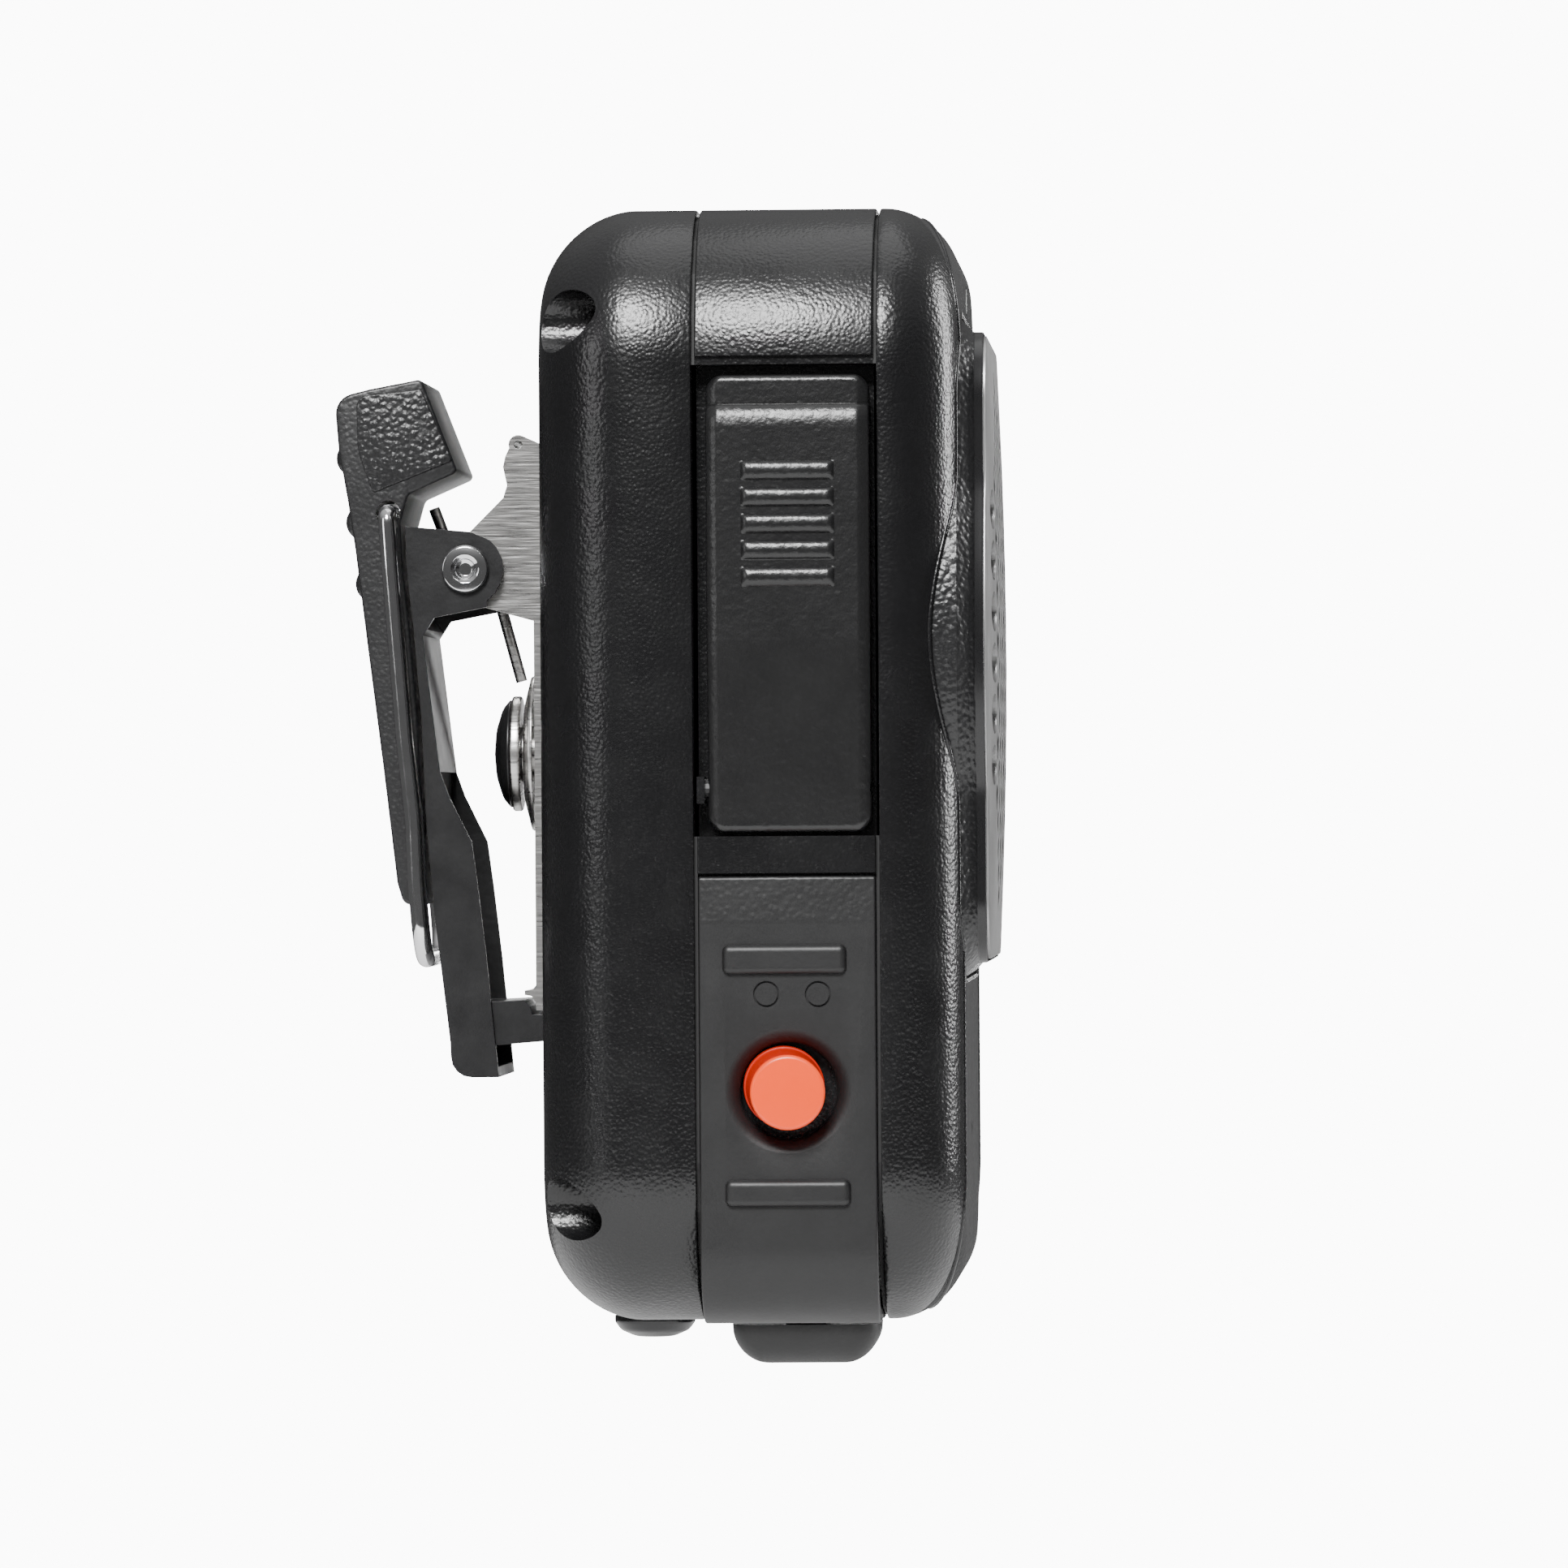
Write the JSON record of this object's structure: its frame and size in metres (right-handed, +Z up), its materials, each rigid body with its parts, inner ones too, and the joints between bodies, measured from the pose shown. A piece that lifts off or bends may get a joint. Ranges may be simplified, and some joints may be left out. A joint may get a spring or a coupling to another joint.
{
  "type": "body-worn portable radio",
  "caption": "Body-worn black radio with a side push-to-talk key, orange emergency button, metal speaker grille and swivelling spring clip with a wire bail.",
  "frame": {"origin": "where the clip jaw grips: the middle of the clip plate, on its outer face, just above the jaw tooth", "axes": "+Z up along the body, -Y out of the speaker front, +Y out of the clip at the back, the push-to-talk side at -X"},
  "size_m": [0.0616, 0.0581, 0.1005],
  "materials": {
    "housing_plastic": "black moulded plastic with a fine leather grain",
    "panel_plastic": "semi-gloss black moulded plastic",
    "key_plastic": "smooth matte dark grey plastic",
    "rubber": "matte black rubber",
    "orange_plastic": "smooth orange plastic",
    "bright_steel": "brushed bright steel",
    "screw_steel": "plated steel screws",
    "chrome_wire": "polished chrome plate",
    "satin_grille": "satin perforated aluminium",
    "black_steel": "black coated sheet steel",
    "cloth": "fine black acoustic mesh",
    "board": "green solder mask",
    "cell_wrap": "grey shrink wrap over the cell",
    "foam": "closed-cell foam",
    "clear_light": "frosted light pipe"
  },
  "bodies": {
    "housing": {"rear_housing": "housing_plastic", "mid_frame": "housing_plastic", "front_housing": "housing_plastic", "lower_panel": "panel_plastic", "upper_panel": "panel_plastic", "speaker_bezel": "panel_plastic", "speaker_grille": "satin_grille", "grille_cloth": "cloth", "speaker_gasket": "foam", "speaker_basket": "black_steel", "speaker_cone": "cloth", "speaker_magnet": "bright_steel", "front_seal": "rubber", "rear_seal": "rubber", "ptt_hinge_pin": "screw_steel", "ptt_switch": "screw_steel", "side_keypad": "rubber", "emergency_switch": "black_steel", "side_key_board": "board", "usb_connector": "screw_steel", "audio_jack": "black_steel", "main_board": "board", "board_screw_1": "screw_steel", "board_screw_2": "screw_steel", "board_screw_3": "screw_steel", "board_screw_4": "screw_steel", "battery_pack": "cell_wrap", "battery_pad": "foam", "battery_contacts": "panel_plastic", "microphone_capsule": "screw_steel", "internal_antenna": "board", "status_light": "clear_light", "housing_screw_1": "screw_steel", "housing_screw_2": "screw_steel", "housing_screw_3": "screw_steel", "housing_screw_4": "screw_steel", "swivel_rivet": "black_steel", "rivet_backing_washer": "screw_steel"},
    "clip_base": {"spring_washer": "bright_steel", "clip_bracket": "bright_steel", "clip_pivot_pin": "chrome_wire", "clip_spring": "bright_steel"},
    "clip_jaw_lever": {"clip_lever": "black_steel", "lever_cover": "housing_plastic"},
    "bail": {"clip_bail": "chrome_wire"},
    "ptt_key": {"ptt_button": "key_plastic"},
    "emergency_key": {"emergency_button": "orange_plastic"},
    "volume_up": {"volume_up_key": "rubber"},
    "volume_down": {"volume_down_key": "rubber"},
    "power": {"power_key": "rubber"},
    "port_cover": {"usb_port_cover": "rubber"},
    "jack_cover": {"jack_plug": "panel_plastic"}
  },
  "joints": [
    {"name": "ptt_press", "type": "hinge", "parent": "housing", "child": "ptt_key", "pos_m": [-0.028, -0.0229, 0.0185], "axis": [0, 1, 0], "range_deg": [0, 1.8], "stiffness_Nm_per_rad": 0.3, "springref_deg": -8.59},
    {"name": "emergency_press", "type": "slide", "parent": "housing", "child": "emergency_key", "axis": [1, 0, 0], "range_m": [0, 0.0006], "stiffness_N_per_m": 400, "springref_m": -0.003},
    {"name": "volume_up_press", "type": "slide", "parent": "housing", "child": "volume_up", "axis": [-1, 0, 0], "range_m": [0, 0.0006], "stiffness_N_per_m": 400, "springref_m": -0.003},
    {"name": "volume_down_press", "type": "slide", "parent": "housing", "child": "volume_down", "axis": [-1, 0, 0], "range_m": [0, 0.0006], "stiffness_N_per_m": 400, "springref_m": -0.003},
    {"name": "power_press", "type": "slide", "parent": "housing", "child": "power", "axis": [-1, 0, 0], "range_m": [0, 0.0006], "stiffness_N_per_m": 400, "springref_m": -0.003},
    {"name": "clip_swivel", "type": "hinge", "parent": "housing", "child": "clip_base", "pos_m": [0, -0.0007, 0.0218], "axis": [0, 1, 0], "continuous": true},
    {"name": "lever_open", "type": "hinge", "parent": "clip_base", "child": "clip_jaw_lever", "pos_m": [0, 0.00585, 0.03787], "axis": [1, 0, 0], "range_deg": [0, 24], "stiffness_Nm_per_rad": 0.5, "springref_deg": -34.38, "deforming": ["clip_spring"]},
    {"name": "bail_swing", "type": "hinge", "parent": "clip_jaw_lever", "child": "bail", "pos_m": [0, 0.0126, 0.0428], "axis": [1, 0, 0], "range_deg": [0, 170]},
    {"name": "port_cover_pull", "type": "slide", "parent": "housing", "child": "port_cover", "axis": [0, 0, -1], "range_m": [0, 0.006]},
    {"name": "jack_plug_pull", "type": "slide", "parent": "housing", "child": "jack_cover", "axis": [0, 0, -1], "range_m": [0, 0.007]}
  ]
}
